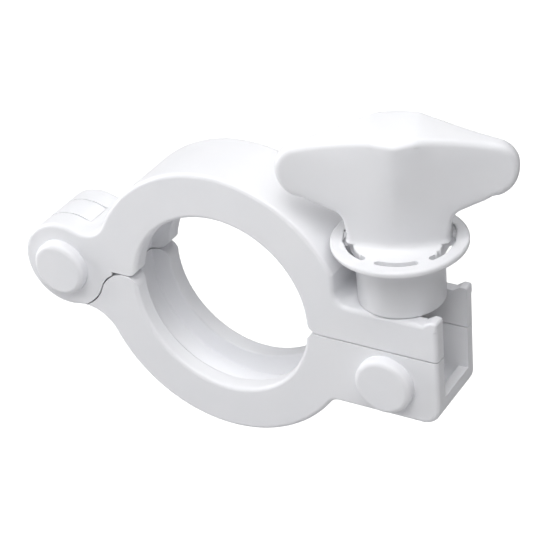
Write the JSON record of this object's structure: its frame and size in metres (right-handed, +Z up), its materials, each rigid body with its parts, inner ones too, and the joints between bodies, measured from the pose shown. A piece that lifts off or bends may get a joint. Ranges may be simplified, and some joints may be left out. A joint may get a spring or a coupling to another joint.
{
  "type": "sanitary hinged clamp",
  "caption": "Hinged two-jaw clamp that presses the flanges of two sanitary tube ends together, closed by a swing bolt and a wing nut.",
  "frame": {"origin": "centre of the ring, on the tube's axis in the middle of the clamp's depth", "axes": "+Y along the tube, +Z up along the closed bolt, +X from the hinge to the bolt"},
  "size_m": [0.1175, 0.0296, 0.0814],
  "materials": {
    "white_polymer": "moulded white polymer, satin",
    "brass_insert": "turned brass"
  },
  "bodies": {
    "lower_jaw_set": {"lower_jaw": "white_polymer", "bolt_pin": "white_polymer", "bolt_pin_cap": "white_polymer"},
    "upper_jaw_set": {"upper_jaw": "white_polymer", "hinge_pin": "white_polymer", "hinge_pin_cap": "white_polymer"},
    "bolt": {"swing_bolt": "white_polymer"},
    "insert": {"nut_insert": "brass_insert"},
    "nut": {"wing_nut": "white_polymer"}
  },
  "joints": [
    {"name": "jaw_hinge", "type": "hinge", "parent": "lower_jaw_set", "child": "upper_jaw_set", "pos_m": [-0.04195, 0, 0.00078], "axis": [0, -1, 0], "range_deg": [0, 11]},
    {"name": "bolt_swing", "type": "hinge", "parent": "lower_jaw_set", "child": "bolt", "pos_m": [0.04115, 0, -0.00936], "axis": [0, 1, 0], "range_deg": [0, 25]},
    {"name": "nut_travel", "type": "slide", "parent": "bolt", "child": "insert", "axis": [0, 0, 1], "range_m": [0, 0.03]},
    {"name": "wing_nut_turn", "type": "hinge", "parent": "insert", "child": "nut", "pos_m": [0.04115, 0, 0], "axis": [0, 0, 1], "range_deg": [0, 3600]}
  ],
  "couplings": [
    {"joint": "nut_travel", "follows": "wing_nut_turn", "m_per_rad": 0.00047746},
    {"joint": "bolt_swing", "follows": "wing_nut_turn", "ratio": 0.0069444},
    {"joint": "jaw_hinge", "follows": "wing_nut_turn", "ratio": 0.0030556}
  ]
}
